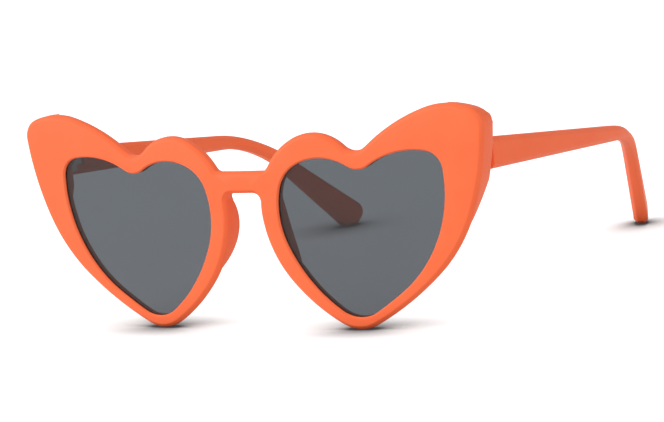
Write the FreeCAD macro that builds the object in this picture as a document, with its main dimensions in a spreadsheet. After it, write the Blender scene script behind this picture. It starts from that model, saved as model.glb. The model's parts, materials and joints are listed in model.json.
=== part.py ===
import FreeCAD, Part
import math
import os
import Sketcher

# Heart shaped sunglasses, standing open on the two heart points and the two temple tips.
# Everything is drawn in the front's own frame first: X to the wearer's left, Y from the front
# face towards the ears, Z up from the heart points. The finished pieces then lean together until
# the temple tips reach the ground, with the origin under the middle of the whole.

# Driving dimensions in millimetres and degrees, each with what it measures
DIMENSIONS = [
    # Lens opening, by its boxed width and height, and the rim left around it
    ("lens_width", 52.0, "width of the heart shaped opening"),
    ("lens_height", 45.5, "height of the heart shaped opening"),
    ("bridge_gap", 22.3, "between the two openings across the nose"),
    ("rim_nose", 5.5, "rim beside the nose"),
    ("rim_wing", 12.6, "rim at the raised outer corner"),
    ("rim_below", 3.6, "rim under the point of the opening"),
    ("rim_above", 11.8, "rim over the opening, up to the raised corner"),
    # Front, two flat hearts turned towards the face from a bent bridge
    ("face_turn", 3.7, "turn of each heart towards the face"),
    ("bridge_bend", 3.0, "bent part of the bridge, from the middle to one side"),
    ("rim_depth", 3.4, "front face to back face"),
    ("face_bevel", 1.0, "bevel of the outer front edge"),
    ("back_bevel", 0.7, "bevel of the outer back edge, over the nose pads"),
    ("lower_bevel", 1.4, "bevel of the outer back edge, under the nose pads"),
    ("opening_bevel", 0.4, "bevel of the opening's front edge"),
    # Lens and the groove that holds it
    ("lens_setback", 0.8, "lens behind the front face"),
    ("lens_thickness", 1.6, "thickness of the lens"),
    ("groove_depth", 0.8, "groove into the wall of the opening"),
    ("lens_clearance", 0.05, "play of the lens in its groove"),
    # Bridge bar
    ("bridge_top", 44.4, "top of the bar over the heart points"),
    ("bridge_height", 6.0, "height of the bar"),
    ("flare_above", 1.8, "radius where the bar runs up into the lobes"),
    ("flare_below", 2.2, "radius where the bar runs down into the rims"),
    # Nose pads, where the rims are deeper beside the nose
    ("pad_radius", 16.0, "curve of a pad seen from the side"),
    ("pad_reach", 6.4, "back of the pads behind the front face"),
    ("pad_middle", 28.0, "middle of the pads over the heart points"),
    # End pieces, the thick raised corners that carry the hinges
    ("end_piece_depth", 7.4, "end piece from front to back"),
    ("end_piece_width", 11.4, "end piece along the front"),
    ("end_piece_margin", 1.2, "flat back under the temple"),
    ("end_piece_fall", 12.0, "slope from the flat back down into the rim"),
    ("end_piece_crown", 5.0, "flat back under the top of the raised corner"),
    ("end_piece_rise", 7.0, "slope from the flat back up over the raised corner"),
    ("end_piece_bevel", 0.7, "bevel of the end piece at the back"),
    # Temples, seen from above
    ("temple_inset", 1.8, "temple inside the outer corner of the front"),
    ("temple_thickness", 4.4, "thickness of a temple"),
    ("temple_splay", 2.7, "turn of the straight part towards the head"),
    ("tip_length", 50.9, "reach of the inward curve and the tip"),
    ("tip_curve", 57.0, "radius of the inward curve, on the outside"),
    ("tip_turn", 24.0, "turn of the tip towards the head"),
    # Temples, seen from the side
    ("hinge_height", 46.3, "middle of the hinges over the heart points"),
    ("temple_height", 8.7, "height of a temple at the hinge"),
    ("temple_reach", 128.8, "temple from its front end to the back of the tip"),
    ("joint_gap", 0.3, "between end piece and temple"),
    ("fall_top", 7.4, "fall of the top edge"),
    ("fall_bottom", 4.4, "fall of the bottom edge"),
    ("hook_length_top", 50.3, "reach of the top edge from the bend over the ear to the end"),
    ("hook_length_bottom", 48.8, "reach of the bottom edge from its bend to the end"),
    ("hook_radius_top", 49.0, "bend of the top edge over the ear"),
    ("hook_radius_bottom", 34.0, "bend of the bottom edge over the ear"),
    ("hook_fall_top", 40.3, "fall of the tip's top edge"),
    ("hook_fall_bottom", 48.4, "fall of the tip's bottom edge"),
    ("tip_roundness", 0.43, "corner radius of the tip, as a share of the tip's width"),
    ("temple_bevel", 1.2, "bevel along the temple"),
    # Hinges
    ("knuckle_radius", 1.6, "outside radius of the knuckles"),
    ("knuckle_length", 1.9, "length of one knuckle"),
    ("knuckle_gap", 0.4, "knuckles clear of the temple"),
    ("knuckle_play", 0.1, "between two knuckles along the screw"),
    ("leaf_thickness", 1.2, "thickness of the let-in plates"),
    ("leaf_lip", 1.0, "temple left in front of its plate"),
    ("front_leaf_width", 5.4, "width of the plate in the end piece"),
    ("front_leaf_height", 6.6, "height of the plate in the end piece"),
    ("temple_leaf_length", 10.0, "length of the plate in the temple"),
    ("temple_leaf_height", 4.4, "height of the plate in the temple"),
    ("leaf_clearance", 0.03, "play of a plate in its recess"),
    # Hinge screws
    ("screw_radius", 0.7, "radius of the shank"),
    ("bore_clearance", 0.04, "play of the knuckles on the shank"),
    ("head_radius", 1.3, "radius of the head"),
    ("head_height", 0.8, "height of the head"),
    ("head_bevel", 0.25, "bevel round the head"),
    ("head_seat", 0.02, "head over the top knuckle"),
    ("driver_slot_width", 0.4, "width of the slot in the head"),
    ("driver_slot_depth", 0.4, "depth of the slot in the head"),
]

# Where the arcs of the lens opening meet, as fractions of its width and height. The arcs run on
# smoothly from one to the next, and an odd count of them closes in one way only
OPENING_SHAPE = [
    # Nose side: over the lobe, down beside the nose and along to the point
    (0.44, 0.91), (0.13, 0.93), (0.02, 0.78), (0.04, 0.44), (0.32, 0.04),
    # Temple side: up from the point, round the outer corner and back to the notch
    (0.53, 0.03), (0.69, 0.15), (0.94, 0.51), (0.99, 0.88), (0.9, 0.99), (0.56, 0.91),
]

# The same for the outer edge of one heart, with its raised outer corner
RIM_SHAPE = [
    # Nose side
    (0.39, 0.83), (0.175, 0.875), (0.035, 0.725), (0.0, 0.53), (0.105, 0.225), (0.31, 0.025),
    # Temple side
    (0.46, 0.02), (0.75, 0.245), (0.925, 0.53), (1.0, 0.89), (0.95, 0.98), (0.745, 0.985), (0.485, 0.825),
]

# How far cutting shapes run past what they cut, and how near counts as the same place
OVERSHOOT = 5.0
NEAR = 0.01

X_AXIS = FreeCAD.Vector(1, 0, 0)
Y_AXIS = FreeCAD.Vector(0, 1, 0)
Z_AXIS = FreeCAD.Vector(0, 0, 1)
ORIGIN = FreeCAD.Vector(0, 0, 0)

# Sketch planes: across the front, along the side, and from above
FRONT_VIEW = FreeCAD.Rotation(X_AXIS, 90)
SIDE_VIEW = FreeCAD.Rotation(FreeCAD.Vector(1, 1, 1), 120)
TOP_VIEW = FreeCAD.Rotation()

doc = FreeCAD.newDocument("heart_sunglasses")
sheet = doc.addObject("Spreadsheet::Sheet", "Sizes")
for row, (alias, value, meaning) in enumerate(DIMENSIONS, start=1):
    sheet.set(f"A{row}", meaning)
    sheet.set(f"B{row}", str(value))
    sheet.setAlias(f"B{row}", alias)
doc.recompute()


def size(expression):
    """The value of an expression on the sheet's cells."""
    return float(sheet.evalExpression(expression))


# Places that several pieces share, worked out from the sheet
OPENING_LEFT = "Sizes.bridge_gap / 2"
RIM_LEFT = "(Sizes.bridge_gap / 2 - Sizes.rim_nose)"
RIM_RIGHT = "(Sizes.bridge_gap / 2 + Sizes.lens_width + Sizes.rim_wing)"
RIM_WIDTH = "(Sizes.rim_nose + Sizes.lens_width + Sizes.rim_wing)"
RIM_HEIGHT = "(Sizes.rim_below + Sizes.lens_height + Sizes.rim_above)"
BRIDGE_BOTTOM = "(Sizes.bridge_top - Sizes.bridge_height)"
TEMPLE_OUTSIDE = f"({RIM_RIGHT} - Sizes.temple_inset)"
TEMPLE_INSIDE = f"({TEMPLE_OUTSIDE} - Sizes.temple_thickness)"
TEMPLE_TOP = "(Sizes.hinge_height + Sizes.temple_height / 2)"
TEMPLE_BOTTOM = "(Sizes.hinge_height - Sizes.temple_height / 2)"
BEND_RADIUS = "(Sizes.bridge_bend / sin(Sizes.face_turn))"
FACE_AT_BEND = f"({BEND_RADIUS} * (1 - cos(Sizes.face_turn)))"
TURN_SHIFT = ("(Sizes.bridge_bend * (1 - cos(Sizes.face_turn)))",
              f"({FACE_AT_BEND} - Sizes.bridge_bend * sin(Sizes.face_turn))")
FACE_AT_TEMPLE = f"({FACE_AT_BEND} +({TEMPLE_OUTSIDE} - Sizes.bridge_bend) * tan(Sizes.face_turn))"
END_BACK = f"({FACE_AT_TEMPLE} + Sizes.end_piece_depth)"
TEMPLE_FRONT = f"({END_BACK} + Sizes.joint_gap)"
HINGE_X = f"({TEMPLE_INSIDE} - Sizes.knuckle_gap - Sizes.knuckle_radius)"
HINGE_Y = f"({TEMPLE_FRONT} + Sizes.leaf_lip + Sizes.knuckle_radius)"
STACK_HEIGHT = "(3 * Sizes.knuckle_length + 2 * Sizes.knuckle_play)"
STACK_TOP = f"(Sizes.hinge_height + {STACK_HEIGHT} / 2)"
STACK_BOTTOM = f"(Sizes.hinge_height - {STACK_HEIGHT} / 2)"
BORE_RADIUS = "(Sizes.screw_radius + Sizes.bore_clearance)"


def bind(feature, expressions):
    """Tie properties to the sheet."""
    for name, expression in expressions.items():
        feature.setExpression(name, expression)


def add(kind, name, **properties):
    """A document object with plain properties set."""
    feature = doc.addObject(kind, name)
    for key, value in properties.items():
        setattr(feature, key, value)
    return feature


# Drawing on a sketch

def new_sketch(name, view):
    """An empty sketch through the origin, turned to one of the views."""
    sketch = doc.addObject("Sketcher::SketchObject", name)
    sketch.Placement = FreeCAD.Placement(ORIGIN, view)
    return sketch


def dimension(sketch, kind, references, expression):
    """A driving constraint whose value comes from the sheet."""
    index = sketch.addConstraint(Sketcher.Constraint(kind, *references, size(expression)))
    sketch.setExpression(f"Constraints[{index}]", expression)


def place_point(sketch, geometry, position, across, up):
    """Fix a point of the sketch by its distances from the sketch's origin."""
    dimension(sketch, "DistanceX", (-1, 1, geometry, position), across)
    dimension(sketch, "DistanceY", (-1, 1, geometry, position), up)


def arc_between(start, end, radius):
    """The shorter arc from start to end, turning left for a positive radius."""
    middle = (start + end) * 0.5
    chord = end - start
    rise = math.sqrt(max(radius ** 2 - (chord.Length / 2) ** 2, 0.0))
    across = FreeCAD.Vector(-chord.y, chord.x, 0).normalize()
    centre = middle + across * math.copysign(rise, radius)
    first, last = (start, end) if radius > 0 else (end, start)
    angles = [math.atan2(point.y - centre.y, point.x - centre.x) for point in (first, last)]
    return Part.ArcOfCircle(Part.Circle(centre, Z_AXIS, abs(radius)), *angles)


def smooth_outline(sketch, shape, left, bottom, width, height):
    """A closed outline of arcs that run smoothly into each other, through fractions of a box."""
    places = []
    for across, up in shape:
        places.append((f"{left} + {across} * {width}", f"{bottom} + {up} * {height}"))
    points = [FreeCAD.Vector(size(across), size(up), 0) for across, up in places]
    chords = [points[number + 1 - len(points)] - point for number, point in enumerate(points)]
    headings = [math.atan2(chord.y, chord.x) for chord in chords]
    for number in range(1, len(headings)):
        turn = headings[number] - headings[number - 1]
        headings[number] = headings[number - 1] + math.remainder(turn, 2 * math.pi)
    # Each arc leaves its chord as it came to it, and all of them together turn once round
    heading = 0.0
    for chord_heading in headings:
        heading = 2 * chord_heading - heading
    heading = heading / 2 - math.pi
    arcs = []
    for point, chord, chord_heading in zip(points, chords, headings):
        half_turn = math.remainder(chord_heading - heading, 2 * math.pi)
        radius = chord.Length / (2 * math.sin(half_turn))
        arcs.append((sketch.addGeometry(arc_between(point, point + chord, radius)), radius > 0))
        heading = 2 * chord_heading - heading
    for number, (arc, turns_left) in enumerate(arcs):
        before, before_left = arcs[number - 1]
        joint = (before, 2 if before_left else 1, arc, 1 if turns_left else 2)
        sketch.addConstraint(Sketcher.Constraint("Tangent", *joint))
        place_point(sketch, arc, joint[3], *places[number])


def outline(sketch, stations):
    """A closed outline of straight lines and arcs.

    Each station is where a side starts, across and up. A third entry makes that side an arc of
    this radius, with a fourth of -1 where the arc turns right."""
    points = [FreeCAD.Vector(size(station[0]), size(station[1]), 0) for station in stations]
    ends = []
    for number, station in enumerate(stations):
        start = points[number]
        end = points[(number + 1) % len(points)]
        turn = station[3] if len(station) > 3 else 1
        if len(station) > 2:
            side = sketch.addGeometry(arc_between(start, end, turn * size(station[2])))
            dimension(sketch, "Radius", (side,), station[2])
        else:
            side = sketch.addGeometry(Part.LineSegment(start, end))
        ends.append(((side, 1), (side, 2)) if turn > 0 else ((side, 2), (side, 1)))
    for number, station in enumerate(stations):
        start = ends[number][0]
        before = ends[number - 1][1]
        sketch.addConstraint(Sketcher.Constraint("Coincident", *before, *start))
        place_point(sketch, *start, station[0], station[1])


def box_outline(sketch, left, right, bottom, top):
    """A rectangle."""
    outline(sketch, [(left, bottom), (right, bottom), (right, top), (left, top)])


def circle(sketch, across, up, radius):
    """A circle."""
    ring = sketch.addGeometry(Part.Circle(FreeCAD.Vector(size(across), size(up), 0), Z_AXIS, size(radius)))
    place_point(sketch, ring, 3, across, up)
    dimension(sketch, "Radius", (ring,), radius)


# Solids

def extrusion(name, base, direction, forward, backward):
    """A solid drawn out along an axis."""
    solid = add("Part::Extrusion", name, Base=base, DirMode="Custom", Dir=direction, Solid=True)
    bind(solid, {"LengthFwd": forward, "LengthRev": backward})
    return solid


def through_front(name, base):
    """A shape of the front view drawn right through the front and what stands behind it."""
    return extrusion(name, base, Y_AXIS, f"{END_BACK} + {OVERSHOOT}", f"{OVERSHOOT}")


def layer(name, front, back):
    """A flat layer of the front between two depths, wider than the heart."""
    slab = add("Part::Box", name)
    bind(slab, {
        "Length": f"{RIM_RIGHT} + {OVERSHOOT} - Sizes.bridge_bend",
        "Width": f"({back}) - ({front})",
        "Height": f"{RIM_HEIGHT} + 2 * {OVERSHOOT}",
        "Placement.Base.x": "Sizes.bridge_bend",
        "Placement.Base.y": front,
        "Placement.Base.z": f"0 - {OVERSHOOT}",
    })
    return slab


def mirrored(name, source):
    """The same shape on the other side of the nose."""
    return add("Part::Mirroring", name, Source=source, Base=ORIGIN, Normal=X_AXIS)


def both_sides(source):
    """A shape and its mirror image."""
    return [source, mirrored(f"{source.Name}_mirrored", source)]


def fuse(name, shapes):
    """Several solids as one moulding."""
    return add("Part::MultiFuse", name, Shapes=shapes)


def cut(name, base, tools):
    """A solid with other solids taken out."""
    return add("Part::Cut", name, Base=base, Tool=fuse(f"{name}_tools", tools))


def picked(base, amount, wanted):
    """The edges of a solid that a test picks, with how far each is taken off on both sides."""
    doc.recompute()
    edges = []
    for number, edge in enumerate(base.Shape.Edges, start=1):
        if not edge.Degenerated and wanted(edge.discretize(7)):
            edges.append((number, size(amount), size(amount)))
    return edges


def rounded(name, base, radius, wanted):
    """A solid with the edges that a test picks rounded to one radius."""
    return add("Part::Fillet", name, Base=base, Edges=picked(base, radius, wanted))


def bevelled(name, base, width, wanted):
    """A solid with the edges that a test picks bevelled to one width."""
    return add("Part::Chamfer", name, Base=base, Edges=picked(base, width, wanted))


def turned(feature):
    """Turn a piece of one heart towards the face, about the axis of the bent bridge."""
    feature.Placement = FreeCAD.Placement(ORIGIN, FreeCAD.Rotation(Z_AXIS, size("Sizes.face_turn")))
    bind(feature, {
        "Placement.Base.x": TURN_SHIFT[0],
        "Placement.Base.y": TURN_SHIFT[1],
        "Placement.Rotation.Angle": "Sizes.face_turn * 1 deg",
    })
    return feature


# Outlines of the lens opening and of the rim, flat as before the turn towards the face
opening_outline = new_sketch("opening_outline", FRONT_VIEW)
smooth_outline(opening_outline, OPENING_SHAPE, OPENING_LEFT, "Sizes.rim_below",
               "Sizes.lens_width", "Sizes.lens_height")
rim_outline = new_sketch("rim_outline", FRONT_VIEW)
smooth_outline(rim_outline, RIM_SHAPE, RIM_LEFT, "0", RIM_WIDTH, RIM_HEIGHT)

# Lenses
lens_outline = add("Part::Offset2D", "lens_outline", Source=opening_outline)
bind(lens_outline, {"Value": "Sizes.groove_depth - Sizes.lens_clearance"})
lens_right = extrusion("lens_right", lens_outline, Y_AXIS, "Sizes.lens_setback + Sizes.lens_thickness",
                       "0 - Sizes.lens_setback")
turned(lens_right)
lens_left = mirrored("lens_left", lens_right)

# Block of one heart: the outline and half the bridge bar, drawn through and flared into each other
rim_block = through_front("rim_block", rim_outline)
bridge_sketch = new_sketch("bridge_outline", FRONT_VIEW)
box_outline(bridge_sketch, "Sizes.bridge_bend", OPENING_LEFT, BRIDGE_BOTTOM, "Sizes.bridge_top")
bridge_block = through_front("bridge_block", bridge_sketch)
joined_block = fuse("joined_block", [rim_block, bridge_block])


def straight_back_at(level):
    """A test for the edges where the bar meets the rim, which run straight back."""
    def test(points):
        inside = points[0].x > size("Sizes.bridge_bend") + NEAR
        return inside and all(
            abs(point.z - size(level)) < NEAR and abs(point.x - points[0].x) < NEAR for point in points)
    return test


flared_above = rounded("flared_above", joined_block, "Sizes.flare_above", straight_back_at("Sizes.bridge_top"))
flared_below = rounded("flared_below", flared_above, "Sizes.flare_below", straight_back_at(BRIDGE_BOTTOM))

# Its depth: the flat plate, the curve of the nose pad and, behind the raised corner, the end piece
# that faces straight back and slopes down into the rim
behind_face = layer("behind_face", "Sizes.rim_depth / 2", f"{END_BACK} + {OVERSHOOT}")
pad_profile = new_sketch("pad_profile", SIDE_VIEW)
circle(pad_profile, "Sizes.pad_reach - Sizes.pad_radius", "Sizes.pad_middle", "Sizes.pad_radius")
pad_roll = extrusion("pad_roll", pad_profile, X_AXIS, f"{OPENING_LEFT} + Sizes.lens_width / 2", "0")
nose_pad = add("Part::Common", "nose_pad", Base=pad_roll, Tool=behind_face)
END_LEFT = f"({RIM_RIGHT} - Sizes.end_piece_width)"
END_BOTTOM = f"({TEMPLE_BOTTOM} - Sizes.end_piece_margin)"
END_TOP = f"({RIM_HEIGHT} - Sizes.end_piece_crown)"
end_piece = add("Part::Wedge", "end_piece")
end_piece.Placement = FreeCAD.Placement(ORIGIN, FreeCAD.Rotation(-Z_AXIS, size("Sizes.face_turn")))
bind(end_piece, {
    "Xmin": END_LEFT,
    "X2min": END_LEFT,
    "Xmax": f"{RIM_RIGHT} + {OVERSHOOT}",
    "X2max": f"{RIM_RIGHT} + {OVERSHOOT}",
    "Ymin": f"{FACE_AT_TEMPLE} + Sizes.rim_depth / 2",
    "Ymax": END_BACK,
    "Zmin": f"{END_BOTTOM} - Sizes.end_piece_fall",
    "Z2min": END_BOTTOM,
    "Zmax": f"{END_TOP} + Sizes.end_piece_rise",
    "Z2max": END_TOP,
    "Placement.Base.x": f"0 - {TURN_SHIFT[0]} * cos(Sizes.face_turn) - {TURN_SHIFT[1]} * sin(Sizes.face_turn)",
    "Placement.Base.y": f"{TURN_SHIFT[0]} * sin(Sizes.face_turn) - {TURN_SHIFT[1]} * cos(Sizes.face_turn)",
    "Placement.Rotation.Angle": "Sizes.face_turn * 1 deg",
})
depths = fuse("depths", [layer("plate_layer", "0", "Sizes.rim_depth"), nose_pad, end_piece])
half_plate = add("Part::Common", "half_plate", Base=flared_below, Tool=depths)
doc.recompute()
pad_region = nose_pad.Shape.copy()
end_region = end_piece.Shape.copy()


def at_bridge(points):
    """Whether an edge lies in the plane where the bent bridge takes over."""
    return all(abs(point.x - size("Sizes.bridge_bend")) < NEAR for point in points)


def inside(region, points):
    """Whether an edge lies in a region or on its sides."""
    return all(region.isInside(point, NEAR, True) for point in points)


def round_the_face(points):
    """Edges round the front face."""
    return all(abs(point.y) < NEAR for point in points) and not at_bridge(points)


def round_the_end(points):
    """Edges round the flat back of the end piece."""
    turn = FreeCAD.Placement(FreeCAD.Vector(size(TURN_SHIFT[0]), size(TURN_SHIFT[1]), 0),
                             FreeCAD.Rotation(Z_AXIS, size("Sizes.face_turn")))
    return all(abs(turn.multVec(point).y - size(END_BACK)) < NEAR for point in points)


def round_the_back(points):
    """Edges round the back face, apart from those at the nose pad and the end piece."""
    behind = all(abs(point.y - size("Sizes.rim_depth")) < NEAR for point in points)
    built_up = inside(pad_region, points) or inside(end_region, points)
    return behind and not at_bridge(points) and not built_up


def under_pads(points):
    """Whether an edge lies under the nose pad, or under the end piece on the temple side."""
    if points[0].x > size(f"{OPENING_LEFT} + Sizes.lens_width / 2"):
        return max(points[0].z, points[-1].z) < size(END_BOTTOM)
    return min(points[0].z, points[-1].z) < size("Sizes.pad_middle")


def round_the_top(points):
    """Edges round the back face over the nose pads."""
    return round_the_back(points) and not under_pads(points)


def round_the_bottom(points):
    """Edges round the back face under the nose pads."""
    return round_the_back(points) and under_pads(points)


face_bevelled = bevelled("face_bevelled", half_plate, "Sizes.face_bevel", round_the_face)
end_bevelled = bevelled("end_bevelled", face_bevelled, "Sizes.end_piece_bevel", round_the_end)
back_bevelled = bevelled("back_bevelled", end_bevelled, "Sizes.back_bevel", round_the_top)
lower_bevelled = bevelled("lower_bevelled", back_bevelled, "Sizes.lower_bevel", round_the_bottom)

# One half of the front: the moulding with the opening and the groove for the lens
opening_block = through_front("opening_block", opening_outline)
opened = add("Part::Cut", "opened", Base=lower_bevelled, Tool=opening_block)


def round_the_opening(points):
    """Edges round the front of the lens opening."""
    if not all(abs(point.y) < NEAR for point in points):
        return False
    return all(Part.Vertex(point).distToShape(opening_outline.Shape)[0] < NEAR for point in points)


opening_bevelled = bevelled("opening_bevelled", opened, "Sizes.opening_bevel", round_the_opening)
groove_outline = add("Part::Offset2D", "groove_outline", Source=opening_outline)
bind(groove_outline, {"Value": "Sizes.groove_depth"})
groove = extrusion("groove", groove_outline, Y_AXIS,
                   "Sizes.lens_setback + Sizes.lens_thickness + Sizes.lens_clearance",
                   "0 - Sizes.lens_setback + Sizes.lens_clearance")
half_front = turned(add("Part::Cut", "half_front", Base=opening_bevelled, Tool=groove))

# Bent middle of the bridge, with the bevelled edges of the bar
bridge_profile = new_sketch("bridge_profile", SIDE_VIEW)
outline(bridge_profile, [
    ("Sizes.face_bevel", BRIDGE_BOTTOM),
    ("Sizes.rim_depth - Sizes.back_bevel", BRIDGE_BOTTOM),
    ("Sizes.rim_depth", f"{BRIDGE_BOTTOM} + Sizes.back_bevel"),
    ("Sizes.rim_depth", "Sizes.bridge_top - Sizes.back_bevel"),
    ("Sizes.rim_depth - Sizes.back_bevel", "Sizes.bridge_top"),
    ("Sizes.face_bevel", "Sizes.bridge_top"),
    ("0", "Sizes.bridge_top - Sizes.face_bevel"),
    ("0", f"{BRIDGE_BOTTOM} + Sizes.face_bevel"),
])
bridge_middle = add("Part::Revolution", "bridge_middle", Source=bridge_profile, Axis=Z_AXIS,
                    Solid=True, Symmetric=True)
bind(bridge_middle, {"Base.y": BEND_RADIUS, "Angle": "2 * Sizes.face_turn * 1 deg"})
whole_front = fuse("whole_front", both_sides(half_front) + [bridge_middle])

# Recesses for the hinge plates, cut straight into the end pieces
front_recess = add("Part::Box", "front_recess")
bind(front_recess, {
    "Length": "Sizes.front_leaf_width + 2 * Sizes.leaf_clearance",
    "Width": f"Sizes.leaf_thickness + Sizes.leaf_clearance + {OVERSHOOT}",
    "Height": "Sizes.front_leaf_height + 2 * Sizes.leaf_clearance",
    "Placement.Base.x": f"{HINGE_X} - Sizes.front_leaf_width / 2 - Sizes.leaf_clearance",
    "Placement.Base.y": f"{END_BACK} - Sizes.leaf_thickness - Sizes.leaf_clearance",
    "Placement.Base.z": "Sizes.hinge_height - Sizes.front_leaf_height / 2 - Sizes.leaf_clearance",
})
front_frame = cut("front_frame", whole_front, both_sides(front_recess))

# Temple from above: straight, then an even curve to the turned-in tip
TIP_CURVE_INSIDE = "(Sizes.tip_curve - Sizes.temple_thickness)"
TIP_START = "(Sizes.temple_reach - Sizes.tip_length)"
STRAIGHT_TURN = ("sin(Sizes.temple_splay)", "cos(Sizes.temple_splay)")
TIP_TURN = ("sin(Sizes.tip_turn)", "cos(Sizes.tip_turn)")
CURVE_CENTRE = (
    f"({TEMPLE_OUTSIDE} - {TIP_START} * tan(Sizes.temple_splay) - Sizes.tip_curve * {STRAIGHT_TURN[1]})",
    f"({TEMPLE_FRONT} + {TIP_START} - Sizes.tip_curve * {STRAIGHT_TURN[0]})",
)


def on_curve(radius, turn):
    """A place on the inward curve, where the temple has turned this far."""
    return (f"{CURVE_CENTRE[0]} + {radius} * {turn[1]}", f"{CURVE_CENTRE[1]} + {radius} * {turn[0]}")


def past_curve(radius):
    """A place straight on from the inward curve, past the end of the tip."""
    across, along = on_curve(radius, TIP_TURN)
    return (f"{across} - Sizes.temple_reach * {TIP_TURN[0]}", f"{along} + Sizes.temple_reach * {TIP_TURN[1]}")


def before_temple(radius):
    """A place straight on in front of the temple."""
    across, along = on_curve(radius, STRAIGHT_TURN)
    return (f"{across} + Sizes.temple_reach * {STRAIGHT_TURN[0]}",
            f"{along} - Sizes.temple_reach * {STRAIGHT_TURN[1]}")


temple_plan = new_sketch("temple_plan", TOP_VIEW)
outline(temple_plan, [
    before_temple("Sizes.tip_curve"),
    (*on_curve("Sizes.tip_curve", STRAIGHT_TURN), "Sizes.tip_curve"),
    on_curve("Sizes.tip_curve", TIP_TURN),
    past_curve("Sizes.tip_curve"),
    past_curve(TIP_CURVE_INSIDE),
    (*on_curve(TIP_CURVE_INSIDE, TIP_TURN), TIP_CURVE_INSIDE, -1),
    on_curve(TIP_CURVE_INSIDE, STRAIGHT_TURN),
    before_temple(TIP_CURVE_INSIDE),
])
temple_strip = extrusion("temple_strip", temple_plan, Z_AXIS, f"{TEMPLE_TOP} + {OVERSHOOT}",
                         "Sizes.temple_reach")


# Temple from the side: two falling edges, a bend over the ear and a broader tip
def bend_start(hook_length, height, fall):
    """Where an edge leaves its straight fall."""
    start = f"(Sizes.temple_reach - {hook_length})"
    return (f"({TEMPLE_FRONT} + {start})", f"({height} - {start} * tan({fall}))")


def bend_end(start, fall, radius, hook_fall):
    """Where an edge has turned to the fall of the tip."""
    return (f"({start[0]} + {radius} * (sin({hook_fall}) - sin({fall})))",
            f"({start[1]} - {radius} * (cos({fall}) - cos({hook_fall})))")


TOP_BEND = bend_start("Sizes.hook_length_top", TEMPLE_TOP, "Sizes.fall_top")
TOP_HOOK = bend_end(TOP_BEND, "Sizes.fall_top", "Sizes.hook_radius_top", "Sizes.hook_fall_top")
BOTTOM_BEND = bend_start("Sizes.hook_length_bottom", TEMPLE_BOTTOM, "Sizes.fall_bottom")
BOTTOM_HOOK = bend_end(BOTTOM_BEND, "Sizes.fall_bottom", "Sizes.hook_radius_bottom",
                       "Sizes.hook_fall_bottom")
TIP_BACK = f"({TEMPLE_FRONT} + Sizes.temple_reach)"
TIP_TOP = f"({TOP_HOOK[1]} - ({TIP_BACK} - {TOP_HOOK[0]}) * tan(Sizes.hook_fall_top))"
TIP_RUN = (f"((({TIP_BACK} - {BOTTOM_HOOK[0]}) * cos(Sizes.hook_fall_top)"
           f" - ({TIP_TOP} - {BOTTOM_HOOK[1]}) * sin(Sizes.hook_fall_top))"
           f" / cos(Sizes.hook_fall_bottom - Sizes.hook_fall_top))")
TIP_UNDER = (f"({BOTTOM_HOOK[0]} + {TIP_RUN} * cos(Sizes.hook_fall_bottom))",
             f"({BOTTOM_HOOK[1]} - {TIP_RUN} * sin(Sizes.hook_fall_bottom))")
TIP_WIDTH = f"sqrt(({TIP_BACK} - {TIP_UNDER[0]}) ^ 2 + ({TIP_TOP} - {TIP_UNDER[1]}) ^ 2)"
temple_side = new_sketch("temple_side", SIDE_VIEW)
outline(temple_side, [
    (TEMPLE_FRONT, TEMPLE_BOTTOM),
    (*BOTTOM_BEND, "Sizes.hook_radius_bottom", -1),
    BOTTOM_HOOK,
    TIP_UNDER,
    (TIP_BACK, TIP_TOP),
    (*TOP_HOOK, "Sizes.hook_radius_top"),
    TOP_BEND,
    (TEMPLE_FRONT, TEMPLE_TOP),
])
temple_slab = extrusion("temple_slab", temple_side, X_AXIS, f"{RIM_RIGHT} + {OVERSHOOT}", "0")
temple_blank = add("Part::Common", "temple_blank", Base=temple_strip, Tool=temple_slab)
tip_corners = [FreeCAD.Vector(0, size(TIP_BACK), size(TIP_TOP)),
               FreeCAD.Vector(0, size(TIP_UNDER[0]), size(TIP_UNDER[1]))]
temple_front = size(TEMPLE_FRONT)


def across_the_tip(points):
    """The two corner edges of the tip."""
    for corner in tip_corners:
        if all(math.hypot(point.y - corner.y, point.z - corner.z) < NEAR for point in points):
            return True
    return False


def along_the_temple(points):
    """Edges between the broad faces and the narrow ones, behind the front end."""
    at_front = all(abs(point.y - temple_front) < NEAR for point in points)
    run = points[-1] - points[0]
    across = abs(run.x) > abs(run.y) and abs(run.x) > abs(run.z)
    return not at_front and not across


temple_tipped = rounded("temple_tipped", temple_blank, f"Sizes.tip_roundness * {TIP_WIDTH}", across_the_tip)
temple_bevelled = bevelled("temple_bevelled", temple_tipped, "Sizes.temple_bevel", along_the_temple)
temple_recess = add("Part::Box", "temple_recess")
bind(temple_recess, {
    "Length": f"Sizes.leaf_thickness + Sizes.leaf_clearance + {OVERSHOOT}",
    "Width": "Sizes.temple_leaf_length + 2 * Sizes.leaf_clearance",
    "Height": "Sizes.temple_leaf_height + 2 * Sizes.leaf_clearance",
    "Placement.Base.x": f"{TEMPLE_INSIDE} - {OVERSHOOT}",
    "Placement.Base.y": f"{HINGE_Y} - Sizes.knuckle_radius - Sizes.leaf_clearance",
    "Placement.Base.z": "Sizes.hinge_height - Sizes.temple_leaf_height / 2 - Sizes.leaf_clearance",
})
temple_right = add("Part::Cut", "temple_right", Base=temple_bevelled, Tool=temple_recess)
temple_left = mirrored("temple_left", temple_right)


# Hinges and their screws, each a body with its own sketches
def new_body(name):
    """An empty body."""
    return doc.addObject("PartDesign::Body", name)


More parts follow.
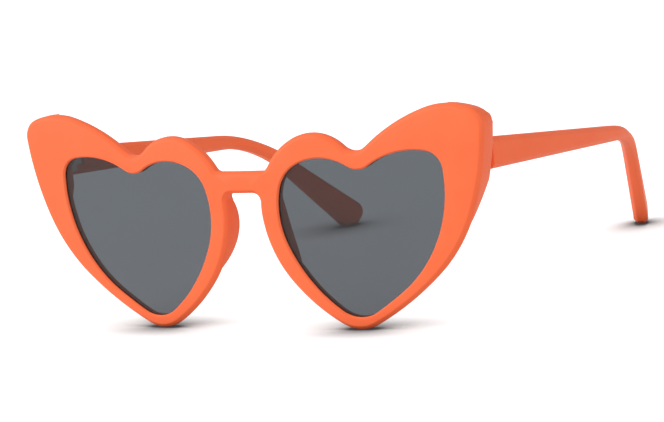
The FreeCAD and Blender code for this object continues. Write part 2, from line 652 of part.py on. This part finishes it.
def body_sketch(body, name, plane, across="0", out="0"):
    """A sketch on one of the body's own planes, moved across it and out of it."""
    sketch = body.newObject("Sketcher::SketchObject", name)
    for feature in body.Origin.OriginFeatures:
        if feature.Role == plane:
            sketch.AttachmentSupport = (feature, "")
    sketch.MapMode = "FlatFace"
    bind(sketch, {"AttachmentOffset.Base.x": across, "AttachmentOffset.Base.z": out})
    doc.recompute()
    return sketch


def pad(body, name, sketch, length):
    """Material drawn out from a sketch."""
    feature = body.newObject("PartDesign::Pad", name)
    feature.Profile = sketch
    bind(feature, {"Length": length})
    doc.recompute()


def pocket(body, name, sketch, length):
    """Material taken out from a sketch downwards."""
    before = body.Shape.Volume
    feature = body.newObject("PartDesign::Pocket", name)
    feature.Profile = sketch
    bind(feature, {"Length": length})
    doc.recompute()
    if body.Shape.Volume >= before:
        raise RuntimeError(f"{name} cuts nothing")


def bore(body, name):
    """The hole for the screw through all knuckles of a leaf."""
    sketch = body_sketch(body, f"{name}_outline", "XY_Plane", out=STACK_TOP)
    circle(sketch, HINGE_X, HINGE_Y, BORE_RADIUS)
    pocket(body, name, sketch, STACK_HEIGHT)


# Front leaf: a plate in the end piece with an upper and a lower knuckle
hinge_front_right = new_body("hinge_front_right")
plate = body_sketch(hinge_front_right, "front_leaf_plate", "XZ_Plane", out=f"0 - {END_BACK}")
box_outline(plate, f"{HINGE_X} - Sizes.front_leaf_width / 2", f"{HINGE_X} + Sizes.front_leaf_width / 2",
            "Sizes.hinge_height - Sizes.front_leaf_height / 2",
            "Sizes.hinge_height + Sizes.front_leaf_height / 2")
pad(hinge_front_right, "front_leaf", plate, "Sizes.leaf_thickness")
knuckles = body_sketch(hinge_front_right, "front_knuckle_outline", "XY_Plane", out=STACK_BOTTOM)
outline(knuckles, [
    (f"{HINGE_X} - Sizes.knuckle_radius", f"{END_BACK} - Sizes.leaf_thickness / 2"),
    (f"{HINGE_X} + Sizes.knuckle_radius", f"{END_BACK} - Sizes.leaf_thickness / 2"),
    (f"{HINGE_X} + Sizes.knuckle_radius", HINGE_Y, "Sizes.knuckle_radius"),
    (HINGE_X, f"{HINGE_Y} + Sizes.knuckle_radius", "Sizes.knuckle_radius"),
    (f"{HINGE_X} - Sizes.knuckle_radius", HINGE_Y),
])
pad(hinge_front_right, "front_knuckles", knuckles, STACK_HEIGHT)
gap = body_sketch(hinge_front_right, "front_gap_outline", "XY_Plane",
                  out="Sizes.hinge_height + Sizes.knuckle_length / 2 + Sizes.knuckle_play")
box_outline(gap, f"{HINGE_X} - 2 * Sizes.knuckle_radius", f"{HINGE_X} + 2 * Sizes.knuckle_radius",
            END_BACK, f"{HINGE_Y} + 2 * Sizes.knuckle_radius")
pocket(hinge_front_right, "front_gap", gap, "Sizes.knuckle_length + 2 * Sizes.knuckle_play")
bore(hinge_front_right, "front_bore")
hinge_front_left = mirrored("hinge_front_left", hinge_front_right)

# Temple leaf: a plate in the temple with the middle knuckle
hinge_temple_right = new_body("hinge_temple_right")
plate = body_sketch(hinge_temple_right, "temple_leaf_plate", "YZ_Plane", out=TEMPLE_INSIDE)
box_outline(plate, f"{HINGE_Y} - Sizes.knuckle_radius",
            f"{HINGE_Y} - Sizes.knuckle_radius + Sizes.temple_leaf_length",
            "Sizes.hinge_height - Sizes.temple_leaf_height / 2",
            "Sizes.hinge_height + Sizes.temple_leaf_height / 2")
pad(hinge_temple_right, "temple_leaf", plate, "Sizes.leaf_thickness")
knuckle = body_sketch(hinge_temple_right, "temple_knuckle_outline", "XY_Plane",
                      out="Sizes.hinge_height - Sizes.knuckle_length / 2")
outline(knuckle, [
    (HINGE_X, f"{HINGE_Y} - Sizes.knuckle_radius"),
    (f"{TEMPLE_INSIDE} + Sizes.leaf_thickness / 2", f"{HINGE_Y} - Sizes.knuckle_radius"),
    (f"{TEMPLE_INSIDE} + Sizes.leaf_thickness / 2", f"{HINGE_Y} + Sizes.knuckle_radius"),
    (HINGE_X, f"{HINGE_Y} + Sizes.knuckle_radius", "Sizes.knuckle_radius"),
    (f"{HINGE_X} - Sizes.knuckle_radius", HINGE_Y, "Sizes.knuckle_radius"),
])
pad(hinge_temple_right, "temple_knuckle", knuckle, "Sizes.knuckle_length")
bore(hinge_temple_right, "temple_bore")
hinge_temple_left = mirrored("hinge_temple_left", hinge_temple_right)

# Screw: a turned shank and head with a driver slot
hinge_screw_right = new_body("hinge_screw_right")
HEAD_BOTTOM = f"({STACK_TOP} + Sizes.head_seat)"
HEAD_TOP = f"({HEAD_BOTTOM} + Sizes.head_height)"
screw_half = body_sketch(hinge_screw_right, "screw_profile", "XZ_Plane", across=HINGE_X, out=f"0 - {HINGE_Y}")
outline(screw_half, [
    ("0", STACK_BOTTOM),
    ("Sizes.screw_radius", STACK_BOTTOM),
    ("Sizes.screw_radius", HEAD_BOTTOM),
    ("Sizes.head_radius", HEAD_BOTTOM),
    ("Sizes.head_radius", f"{HEAD_TOP} - Sizes.head_bevel"),
    ("Sizes.head_radius - Sizes.head_bevel", HEAD_TOP),
    ("0", HEAD_TOP),
])
screw = hinge_screw_right.newObject("PartDesign::Revolution", "screw_turned")
screw.Profile = screw_half
screw.ReferenceAxis = (screw_half, ["V_Axis"])
screw.Angle = 360
doc.recompute()
slot = body_sketch(hinge_screw_right, "slot_outline", "XY_Plane", out=HEAD_TOP)
box_outline(slot, f"{HINGE_X} - 2 * Sizes.head_radius", f"{HINGE_X} + 2 * Sizes.head_radius",
            f"{HINGE_Y} - Sizes.driver_slot_width / 2", f"{HINGE_Y} + Sizes.driver_slot_width / 2")
pocket(hinge_screw_right, "driver_slot", slot, "Sizes.driver_slot_depth")
hinge_screw_left = mirrored("hinge_screw_left", hinge_screw_right)

doc.recompute()
PIECES = [
    front_frame, lens_right, lens_left, temple_right, temple_left,
    hinge_front_right, hinge_front_left, hinge_temple_right, hinge_temple_left,
    hinge_screw_right, hinge_screw_left,
]
for feature in doc.Objects:
    if "Invalid" in feature.State or "Error" in feature.State:
        raise RuntimeError(f"{feature.Name} failed: {feature.State}")


# Stance: the lean that brings heart points and temple tips to the same level
def lowest(piece, lean):
    """The lowest level of a piece after leaning."""
    shape = piece.Shape.copy()
    shape.rotate(ORIGIN, X_AXIS, -lean)
    return shape.optimalBoundingBox(False).ZMin


lean = 0.0
for attempt in range(6):
    rise = lowest(temple_right, lean) - lowest(front_frame, lean)
    lean += math.degrees(rise / size("Sizes.temple_reach"))
stance = FreeCAD.Placement(ORIGIN, FreeCAD.Rotation(X_AXIS, -lean))
whole = Part.makeCompound([piece.Shape for piece in PIECES])
whole.Placement = stance
box = whole.optimalBoundingBox(False)
stance.Base = FreeCAD.Vector(0, -(box.YMin + box.YMax) / 2, -box.ZMin)

os.makedirs("parts", exist_ok=True)
for piece in PIECES:
    piece.Label = piece.Name
    shape = piece.Shape.copy()
    shape.Placement = stance.multiply(shape.Placement)
    if shape.isNull() or not shape.isValid():
        raise RuntimeError(f"{piece.Label} has no valid shape")
    shape.exportStep(f"parts/{piece.Label}.step")
    print(piece.Label, len(shape.Solids), round(shape.Volume, 3))
print("lean", round(lean, 4), "stance", stance.Base)
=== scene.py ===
import json
import math

import bpy
from bpy.props import FloatProperty, FloatVectorProperty, IntProperty, PointerProperty
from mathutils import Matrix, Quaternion, Vector
from mathutils.bvhtree import BVHTree

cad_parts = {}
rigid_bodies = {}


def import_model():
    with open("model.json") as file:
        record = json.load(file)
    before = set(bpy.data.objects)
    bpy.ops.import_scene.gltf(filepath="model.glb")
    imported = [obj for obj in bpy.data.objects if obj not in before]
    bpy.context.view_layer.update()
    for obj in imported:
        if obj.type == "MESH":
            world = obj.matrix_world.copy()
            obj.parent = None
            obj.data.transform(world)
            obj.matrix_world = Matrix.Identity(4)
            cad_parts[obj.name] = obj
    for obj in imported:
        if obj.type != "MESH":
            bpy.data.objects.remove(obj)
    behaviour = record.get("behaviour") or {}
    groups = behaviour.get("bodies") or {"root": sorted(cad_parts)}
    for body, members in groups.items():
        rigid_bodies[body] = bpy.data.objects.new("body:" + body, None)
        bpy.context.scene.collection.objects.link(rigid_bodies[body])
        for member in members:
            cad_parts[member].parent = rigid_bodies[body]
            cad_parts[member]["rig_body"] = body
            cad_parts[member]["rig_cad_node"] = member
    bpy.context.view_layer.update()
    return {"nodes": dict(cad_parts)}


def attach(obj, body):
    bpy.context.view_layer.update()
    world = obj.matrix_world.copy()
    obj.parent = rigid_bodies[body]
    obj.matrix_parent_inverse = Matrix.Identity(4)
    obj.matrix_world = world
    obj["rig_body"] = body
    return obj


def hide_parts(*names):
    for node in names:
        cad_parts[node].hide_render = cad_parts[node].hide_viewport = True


bl_info = {
    "name": "Heart Shaped Sunglasses",
    "version": (1, 0, 0),
    "blender": (4, 5, 0),
    "location": "3D View > Sidebar > Sunglasses",
    "description": "Softens the mouldings and finishes the lenses and hinges of sunglasses",
    "category": "Object",
}

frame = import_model()

MM = 0.001
SIDES = ("right", "left")
HINGE_PARTS = ("hinge_front", "hinge_temple", "hinge_screw")

# Welding and rounding of the mouldings
WELD_DISTANCE = 0.001 * MM
FLAT_ANGLE = math.radians(0.5)
SHARP_ANGLE = math.radians(25)
SMOOTH_ANGLE = math.radians(35)

# Distances from a fitting within which the edges of its seat stay sharp
FRONT_SEAT = 1.15 * MM
TEMPLE_SEAT = 0.6 * MM

# Shortest edge that is rounded, in widths of the rounding
SHORTEST_EDGE = 2

# Noise patterns, in repeats per metre and levels of detail
COATING_CLOUDS = {"scale": 90, "detail": 3}
LENS_WIPES = {"scale": 60, "detail": 2}
STEEL_LINES = {"scale": 6000, "detail": 2}
GRAIN_DETAIL = 2
STEEL_STRETCH = (1, 0.08, 1)

# Values between which most of a noise pattern lies
NOISE_LOW = 0.3
NOISE_HIGH = 0.7

# Play of the patterns: share of the deep colour, and roughness up and down
DEEPEST_SHARE = 0.5
COATING_PLAY = 0.05
STEEL_PLAY = 0.08
LENS_PLAY_SHARE = 0.5

# Relief of the grain and of the steel's lines
COATING_RELIEF = {"strength": 0.06, "depth": 0.05 * MM}
STEEL_RELIEF = {"strength": 0.08, "depth": 0.02 * MM}
COATING_SPECULAR = 0.25

# Studio: the lamps' bearing, height and softness are in degrees
FLOOR_SIZE = 12
# Occlusion at which the painted contact shadow on the floor is darkest
PAINTED_SHADOW_OPENNESS = 0.5
KEY_PLACE = {"azimuth": -45, "elevation": 28, "softness": 60}
FILL_PLACE = {"azimuth": 65, "elevation": 20, "softness": 90}
CLIP_START = 0.01

# Width of the photograph, in pixels
PHOTO_WIDTH = 664


class MouldingSettings(bpy.types.PropertyGroup):
    """The soft-touch mouldings: front and temples."""
    colour: FloatVectorProperty(
        name="Coral", description="Colour of the soft-touch coating",
        subtype="COLOR", size=3, min=0, max=1, default=(0.98, 0.166, 0.054))
    deep_colour: FloatVectorProperty(
        name="Deep coral", description="Colour of the coating where it lies a little thicker",
        subtype="COLOR", size=3, min=0, max=1, default=(0.95, 0.14, 0.042))
    roughness: FloatProperty(
        name="Roughness", description="Roughness of the coating",
        subtype="FACTOR", min=0, max=1, default=0.5)
    grain: FloatProperty(
        name="Grain", description="Size of the coating's fine grain",
        subtype="DISTANCE", unit="LENGTH", default=0.35 * MM)
    front_rounding: FloatProperty(
        name="Front rounding", description="Rounding of the front's edges",
        subtype="DISTANCE", unit="LENGTH", default=0.3 * MM)
    temple_rounding: FloatProperty(
        name="Temple rounding", description="Rounding of the temples' edges",
        subtype="DISTANCE", unit="LENGTH", default=0.3 * MM)
    segments: IntProperty(
        name="Segments", description="Faces across a rounded edge", min=1, max=8, default=3)


class LensSettings(bpy.types.PropertyGroup):
    """The tinted lenses."""
    tint: FloatVectorProperty(
        name="Tint", description="Light that passes through a whole lens",
        subtype="COLOR", size=3, min=0, max=1, default=(0.088, 0.099, 0.11))
    roughness: FloatProperty(
        name="Roughness", description="Haze of the lens surface",
        subtype="FACTOR", min=0, max=1, default=0.008)
    index: FloatProperty(
        name="Refraction", description="Refractive index of the coated lens",
        min=1, max=2, default=1.4)


class HingeSettings(bpy.types.PropertyGroup):
    """The hinge leaves and screws."""
    colour: FloatVectorProperty(
        name="Steel", description="Colour of the hinges and screws",
        subtype="COLOR", size=3, min=0, max=1, default=(0.4, 0.39, 0.38))
    roughness: FloatProperty(
        name="Roughness", description="Roughness of the rolled steel",
        subtype="FACTOR", min=0, max=1, default=0.32)


class StudioSettings(bpy.types.PropertyGroup):
    """Floor, light and camera."""
    floor_colour: FloatVectorProperty(
        name="Floor", description="Colour of the floor",
        subtype="COLOR", size=3, min=0, max=1, default=(0.82, 0.82, 0.82))
    floor_lift: FloatProperty(
        name="Floor lift", description="How much whiter than lit the floor shows",
        min=0, max=1, default=0.62)
    # The contact shadow on the floor is painted shade, made from ambient occlusion
    painted_shadow_reach: FloatProperty(
        name="Contact reach", description="How far the shadow at the contact spots spreads",
        subtype="DISTANCE", unit="LENGTH", default=16 * MM)
    painted_shadow_depth: FloatProperty(
        name="Contact depth", description="Light left on the floor in the corner of a contact spot",
        subtype="FACTOR", min=0, max=1, default=0.06)
    ambient: FloatProperty(
        name="Ambient", description="Strength of the even light all round",
        min=0, max=2, default=0.46)
    key: FloatProperty(
        name="Key light", description="Strength of the soft light from the upper left",
        min=0, max=10, default=2.2)
    fill: FloatProperty(
        name="Fill light", description="Strength of the soft light from the right",
        min=0, max=10, default=1.3)
    azimuth: FloatProperty(
        name="Azimuth", description="Camera round the object, from the front towards its right",
        subtype="ANGLE", unit="ROTATION", default=math.radians(32.98))
    elevation: FloatProperty(
        name="Elevation", description="Camera over the horizon",
        subtype="ANGLE", unit="ROTATION", default=math.radians(10.16))
    roll: FloatProperty(
        name="Roll", description="Turn of the camera about its line of sight",
        subtype="ANGLE", unit="ROTATION", default=math.radians(7.14))
    distance: FloatProperty(
        name="Distance", description="Camera from the point that it looks at",
        subtype="DISTANCE", unit="LENGTH", default=0.937)
    aim: FloatVectorProperty(
        name="Aim", description="Point that the camera looks at",
        subtype="XYZ", unit="LENGTH", size=3, default=(-0.01054, -0.00826, 0.02034))
    focal_pixels: FloatProperty(
        name="Focal length", description="Focal length in pixels of the photograph",
        min=100, default=3200)


class SunglassesSettings(bpy.types.PropertyGroup):
    """All settings of the sunglasses."""
    moulding: PointerProperty(type=MouldingSettings)
    lens: PointerProperty(type=LensSettings)
    hinge: PointerProperty(type=HingeSettings)
    studio: PointerProperty(type=StudioSettings)


# Modelling

def select_only(obj):
    """Make one object the only selected and the active one."""
    bpy.ops.object.select_all(action="DESELECT")
    obj.select_set(True)
    bpy.context.view_layer.objects.active = obj


def welded_copy(node, name):
    """A copy of a frame node, welded and with its flat faces whole, that stands for the node."""
    select_only(frame["nodes"][node])
    bpy.ops.object.duplicate()
    piece = bpy.context.view_layer.objects.active
    piece.name = name
    piece.data.name = name
    body = piece["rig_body"]
    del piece["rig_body"]
    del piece["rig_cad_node"]
    bpy.ops.object.parent_clear(type="CLEAR_KEEP_TRANSFORM")
    bpy.ops.mesh.customdata_custom_splitnormals_clear()
    bpy.ops.object.mode_set(mode="EDIT")
    bpy.ops.mesh.select_all(action="SELECT")
    bpy.ops.mesh.remove_doubles(threshold=WELD_DISTANCE)
    bpy.ops.mesh.dissolve_limited(angle_limit=FLAT_ANGLE)
    bpy.ops.object.mode_set(mode="OBJECT")
    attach(piece, body)
    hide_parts(node)
    return piece


def surface_tree(nodes):
    """A search tree over the surfaces of some frame nodes."""
    vertices = []
    faces = []
    for node in nodes:
        fitting = frame["nodes"][node]
        start = len(vertices)
        vertices += [fitting.matrix_world @ vertex.co for vertex in fitting.data.vertices]
        faces += [[start + index for index in face.vertices] for face in fitting.data.polygons]
    return BVHTree.FromPolygons(vertices, faces)


def select_free_edges(piece, fittings, margin, shortest):
    """Select the sharp edges of a piece that are away from its fittings and long enough."""
    select_only(piece)
    bpy.ops.object.mode_set(mode="EDIT")
    bpy.ops.mesh.select_mode(type="EDGE")
    bpy.ops.mesh.select_all(action="DESELECT")
    bpy.ops.mesh.edges_select_sharp(sharpness=SHARP_ANGLE)
    bpy.ops.object.mode_set(mode="OBJECT")
    seats = surface_tree(fittings)
    corners = [piece.matrix_world @ vertex.co for vertex in piece.data.vertices]
    for edge in piece.data.edges:
        if edge.select:
            start, end = (corners[index] for index in edge.vertices)
            _, _, _, distance = seats.find_nearest((start + end) / 2)
            edge.select = distance > margin and (end - start).length > shortest


def soften_edges(piece, width, segments, fittings, margin):
    """Round the sharp edges of a piece, apart from short ones and the seats of its fittings."""
    select_free_edges(piece, fittings, margin, SHORTEST_EDGE * width)
    bpy.ops.object.mode_set(mode="EDIT")
    bpy.ops.mesh.bevel(offset=width, segments=segments, affect="EDGES", clamp_overlap=False)
    bpy.ops.mesh.select_all(action="SELECT")
    bpy.ops.mesh.remove_doubles(threshold=WELD_DISTANCE)
    bpy.ops.mesh.dissolve_degenerate(threshold=WELD_DISTANCE)
    bpy.ops.object.mode_set(mode="OBJECT")
    bpy.ops.object.shade_smooth_by_angle(angle=SMOOTH_ANGLE)


# Materials

def new_material(name):
    """An empty node material, with its nodes and links."""
    material = bpy.data.materials.new(name)
    material.use_nodes = True
    nodes = material.node_tree.nodes
    nodes.clear()
    return material, nodes, material.node_tree.links


def finish_piece(piece, material):
    """Give a piece one material all over."""
    piece.data.materials.clear()
    piece.data.materials.append(material)


def noise(nodes, links, coordinates, scale, detail):
    """A noise pattern on the given coordinates, with its factor as output."""
    texture = nodes.new("ShaderNodeTexNoise")
    texture.inputs["Scale"].default_value = scale
    texture.inputs["Detail"].default_value = detail
    links.new(coordinates, texture.inputs["Vector"])
    return texture.outputs["Fac"]


def ranged(nodes, links, pattern, low, high):
    """A noise pattern spread over a range."""
    spread = nodes.new("ShaderNodeMapRange")
    spread.inputs["From Min"].default_value = NOISE_LOW
    spread.inputs["From Max"].default_value = NOISE_HIGH
    spread.inputs["To Min"].default_value = low
    spread.inputs["To Max"].default_value = high
    links.new(pattern, spread.inputs["Value"])
    return spread.outputs["Result"]


def add_relief(nodes, links, shader, pattern, strength, depth):
    """Fine relief on a shader, raised by a pattern."""
    bump = nodes.new("ShaderNodeBump")
    bump.inputs["Strength"].default_value = strength
    bump.inputs["Distance"].default_value = depth
    links.new(pattern, bump.inputs["Height"])
    links.new(bump.outputs["Normal"], shader.inputs["Normal"])


def coral_coating(settings):
    """Soft-touch coating: matte and finely grained, a little deeper in places."""
    material, nodes, links = new_material("coral_coating")
    place = nodes.new("ShaderNodeTexCoord").outputs["Object"]
    shader = nodes.new("ShaderNodeBsdfPrincipled")
    output = nodes.new("ShaderNodeOutputMaterial")
    blend = nodes.new("ShaderNodeMix")
    blend.data_type = "RGBA"
    blend.inputs["A"].default_value = (*settings.colour, 1)
    blend.inputs["B"].default_value = (*settings.deep_colour, 1)
    clouds = noise(nodes, links, place, **COATING_CLOUDS)
    links.new(ranged(nodes, links, clouds, 0, DEEPEST_SHARE), blend.inputs["Factor"])
    links.new(blend.outputs["Result"], shader.inputs["Base Color"])
    grain = noise(nodes, links, place, 1 / settings.grain, GRAIN_DETAIL)
    rough = ranged(nodes, links, grain,
                   settings.roughness - COATING_PLAY, settings.roughness + COATING_PLAY)
    links.new(rough, shader.inputs["Roughness"])
    add_relief(nodes, links, shader, grain, **COATING_RELIEF)
    shader.inputs["Specular IOR Level"].default_value = COATING_SPECULAR
    links.new(shader.outputs["BSDF"], output.inputs["Surface"])
    return material


def tinted_lens(settings):
    """Clear tinted lens that casts no shadow."""
    material, nodes, links = new_material("tinted_lens")
    place = nodes.new("ShaderNodeTexCoord").outputs["Object"]
    shader = nodes.new("ShaderNodeBsdfPrincipled")
    shader.inputs["Base Color"].default_value = (*settings.tint, 1)
    shader.inputs["Transmission Weight"].default_value = 1
    shader.inputs["IOR"].default_value = settings.index
    wipes = noise(nodes, links, place, **LENS_WIPES)
    play = LENS_PLAY_SHARE * settings.roughness
    rough = ranged(nodes, links, wipes, settings.roughness - play, settings.roughness + play)
    links.new(rough, shader.inputs["Roughness"])
    passing = nodes.new("ShaderNodeBsdfTransparent")
    path = nodes.new("ShaderNodeLightPath")
    either = nodes.new("ShaderNodeMixShader")
    output = nodes.new("ShaderNodeOutputMaterial")
    links.new(path.outputs["Is Shadow Ray"], either.inputs["Fac"])
    links.new(shader.outputs["BSDF"], either.inputs[1])
    links.new(passing.outputs["BSDF"], either.inputs[2])
    links.new(either.outputs["Shader"], output.inputs["Surface"])
    return material


def rolled_steel(settings):
    """Satin steel of the hinge leaves and screws, with fine lines along the temple."""
    material, nodes, links = new_material("rolled_steel")
    place = nodes.new("ShaderNodeTexCoord").outputs["Object"]
    stretch = nodes.new("ShaderNodeMapping")
    stretch.inputs["Scale"].default_value = STEEL_STRETCH
    links.new(place, stretch.inputs["Vector"])
    lines = noise(nodes, links, stretch.outputs["Vector"], **STEEL_LINES)
    shader = nodes.new("ShaderNodeBsdfPrincipled")
    shader.inputs["Base Color"].default_value = (*settings.colour, 1)
    shader.inputs["Metallic"].default_value = 1
    rough = ranged(nodes, links, lines,
                   settings.roughness - STEEL_PLAY, settings.roughness + STEEL_PLAY)
    links.new(rough, shader.inputs["Roughness"])
    add_relief(nodes, links, shader, lines, **STEEL_RELIEF)
    output = nodes.new("ShaderNodeOutputMaterial")
    links.new(shader.outputs["BSDF"], output.inputs["Surface"])
    return material


# Studio

def seen_directly(nodes, links):
    """A factor that is 1 for the camera and for what it sees in gloss and through glass."""
    path = nodes.new("ShaderNodeLightPath")
    total = path.outputs["Is Camera Ray"]
    for ray in ("Is Glossy Ray", "Is Transmission Ray"):
        either = nodes.new("ShaderNodeMath")
        either.operation = "MAXIMUM"
        links.new(total, either.inputs[0])
        links.new(path.outputs[ray], either.inputs[1])
        total = either.outputs["Value"]
    return total


def studio_floor(settings):
    """Pale floor that shows white and keeps the lamps' shadows, with a painted contact shadow near
    the object.
    """
    material, nodes, links = new_material("studio_floor")
    # Painted shadow: ambient occlusion darkens the floor's colour and its lift where the object
    # comes near
    painted_shadow_occlusion = nodes.new("ShaderNodeAmbientOcclusion")
    painted_shadow_occlusion.inputs["Distance"].default_value = settings.painted_shadow_reach
    contact = nodes.new("ShaderNodeMapRange")
    contact.inputs["From Min"].default_value = PAINTED_SHADOW_OPENNESS
    contact.inputs["To Min"].default_value = settings.painted_shadow_depth
    links.new(painted_shadow_occlusion.outputs["AO"], contact.inputs["Value"])
    shade = nodes.new("ShaderNodeMix")
    shade.data_type = "RGBA"
    shade.inputs["A"].default_value = (0, 0, 0, 1)
    shade.inputs["B"].default_value = (*settings.floor_colour, 1)
    links.new(contact.outputs["Result"], shade.inputs["Factor"])
    shader = nodes.new("ShaderNodeBsdfDiffuse")
    links.new(shade.outputs["Result"], shader.inputs["Color"])
    lift = nodes.new("ShaderNodeEmission")
    amount = nodes.new("ShaderNodeMapRange")
    amount.inputs["To Max"].default_value = settings.floor_lift
    links.new(seen_directly(nodes, links), amount.inputs["Value"])
    links.new(contact.outputs["Result"], lift.inputs["Color"])
    links.new(amount.outputs["Result"], lift.inputs["Strength"])
    both = nodes.new("ShaderNodeAddShader")
    links.new(shader.outputs["BSDF"], both.inputs[0])
    links.new(lift.outputs["Emission"], both.inputs[1])
    output = nodes.new("ShaderNodeOutputMaterial")
    links.new(both.outputs["Shader"], output.inputs["Surface"])
    return material


def studio_world(settings):
    """Even white surroundings: plain white to look at, softer as light."""
    world = bpy.data.worlds.new("studio")
    world.use_nodes = True
    nodes = world.node_tree.nodes
    links = world.node_tree.links
    nodes.clear()
    glow = nodes.new("ShaderNodeBackground")
    strength = nodes.new("ShaderNodeMapRange")
    strength.inputs["To Min"].default_value = settings.ambient
    strength.inputs["To Max"].default_value = 1
    links.new(seen_directly(nodes, links), strength.inputs["Value"])
    links.new(strength.outputs["Result"], glow.inputs["Strength"])
    output = nodes.new("ShaderNodeOutputWorld")
    links.new(glow.outputs["Background"], output.inputs["Surface"])
    return world


def view_turn(azimuth, elevation, roll=0.0):
    """The turn of a camera or lamp that looks at the object from this bearing and height."""
    level = Quaternion((0, 0, 1), azimuth)
    raised = Quaternion((1, 0, 0), math.pi / 2 - elevation)
    return level @ raised @ Quaternion((0, 0, 1), roll)


def add_sun(name, strength, azimuth, elevation, softness):
    """A soft lamp far away, by its bearing from the front towards the right, and its height."""
    bpy.ops.object.light_add(type="SUN")
    lamp = bpy.context.view_layer.objects.active
    lamp.name = name
    lamp.data.energy = strength
    lamp.data.angle = math.radians(softness)
    lamp.rotation_euler = view_turn(math.radians(azimuth), math.radians(elevation)).to_euler()


def add_camera(settings):
    """The camera, placed as for the photograph."""
    turn = view_turn(settings.azimuth, settings.elevation, -settings.roll)
    bpy.ops.object.camera_add()
    camera = bpy.context.view_layer.objects.active
    camera.name = "camera"
    camera.rotation_euler = turn.to_euler()
    camera.location = Vector(settings.aim) + turn @ Vector((0, 0, settings.distance))
    camera.data.sensor_fit = "HORIZONTAL"
    camera.data.lens = camera.data.sensor_width * settings.focal_pixels / PHOTO_WIDTH
    camera.data.clip_start = CLIP_START
    return camera


# Operators

class SUNGLASSES_OT_front(bpy.types.Operator):
    """Front moulding with softened edges and the coral coating"""
    bl_idname = "sunglasses.front"
    bl_label = "Front Moulding"

    def execute(self, context):
        settings = context.scene.sunglasses.moulding
        piece = welded_copy("front_frame", "front_moulding")
        fittings = [f"{part}_{side}" for part in ("lens", "hinge_front") for side in SIDES]
        soften_edges(piece, settings.front_rounding, settings.segments, fittings, FRONT_SEAT)
        finish_piece(piece, bpy.data.materials.get("coral_coating") or coral_coating(settings))
        return {"FINISHED"}


class SUNGLASSES_OT_temples(bpy.types.Operator):
    """Temples with softened edges and the coral coating"""
    bl_idname = "sunglasses.temples"
    bl_label = "Temples"

    def execute(self, context):
        settings = context.scene.sunglasses.moulding
        for side in SIDES:
            piece = welded_copy(f"temple_{side}", f"temple_moulding_{side}")
            fittings = [f"hinge_temple_{side}"]
            soften_edges(piece, settings.temple_rounding, settings.segments, fittings, TEMPLE_SEAT)
            finish_piece(piece, bpy.data.materials.get("coral_coating") or coral_coating(settings))
        return {"FINISHED"}


class SUNGLASSES_OT_lenses(bpy.types.Operator):
    """Tint of the two lenses"""
    bl_idname = "sunglasses.lenses"
    bl_label = "Lenses"

    def execute(self, context):
        material = tinted_lens(context.scene.sunglasses.lens)
        for side in SIDES:
            finish_piece(frame["nodes"][f"lens_{side}"], material)
        return {"FINISHED"}


class SUNGLASSES_OT_hinges(bpy.types.Operator):
    """Steel of the hinge leaves and screws"""
    bl_idname = "sunglasses.hinges"
    bl_label = "Hinges"

    def execute(self, context):
        material = rolled_steel(context.scene.sunglasses.hinge)
        for side in SIDES:
            for part in HINGE_PARTS:
                finish_piece(frame["nodes"][f"{part}_{side}"], material)
        return {"FINISHED"}


class SUNGLASSES_OT_stage(bpy.types.Operator):
    """White floor, soft light and the camera"""
    bl_idname = "sunglasses.stage"
    bl_label = "Stage"

    def execute(self, context):
        settings = context.scene.sunglasses.studio
        context.scene.view_settings.view_transform = "Standard"
        bpy.ops.object.select_all(action="DESELECT")
        bpy.ops.mesh.primitive_plane_add(size=FLOOR_SIZE)
        floor = context.view_layer.objects.active
        floor.name = "floor"
        finish_piece(floor, studio_floor(settings))
        context.scene.world = studio_world(settings)
        add_sun("key_light", settings.key, **KEY_PLACE)
        add_sun("fill_light", settings.fill, **FILL_PLACE)
        context.scene.camera = add_camera(settings)
        return {"FINISHED"}


class SUNGLASSES_PT_panel(bpy.types.Panel):
    """The steps that finish the sunglasses"""
    bl_idname = "SUNGLASSES_PT_panel"
    bl_label = "Heart Shaped Sunglasses"
    bl_space_type = "VIEW_3D"
    bl_region_type = "UI"
    bl_category = "Sunglasses"

    def draw(self, context):
        settings = context.scene.sunglasses
        for group in (settings.moulding, settings.lens, settings.hinge, settings.studio):
            box = self.layout.box()
            for name in group.bl_rna.properties.keys():
                if name not in ("name", "rna_type"):
                    box.prop(group, name)
        for operator in OPERATORS:
            self.layout.operator(operator.bl_idname)


OPERATORS = (
    SUNGLASSES_OT_front,
    SUNGLASSES_OT_temples,
    SUNGLASSES_OT_lenses,
    SUNGLASSES_OT_hinges,
    SUNGLASSES_OT_stage,
)
CLASSES = (
    MouldingSettings,
    LensSettings,
    HingeSettings,
    StudioSettings,
    SunglassesSettings,
    *OPERATORS,
    SUNGLASSES_PT_panel,
)


def register():
    """Add the settings, operators and panel."""
    for item in CLASSES:
        bpy.utils.register_class(item)
    bpy.types.Scene.sunglasses = PointerProperty(type=SunglassesSettings)


def unregister():
    """Take them away again."""
    del bpy.types.Scene.sunglasses
    for item in reversed(CLASSES):
        bpy.utils.unregister_class(item)


def main():
    """Finish the sunglasses and set the stage."""
    register()
    bpy.ops.sunglasses.front()
    bpy.ops.sunglasses.temples()
    bpy.ops.sunglasses.lenses()
    bpy.ops.sunglasses.hinges()
    bpy.ops.sunglasses.stage()


if __name__ == "__main__":
    main()
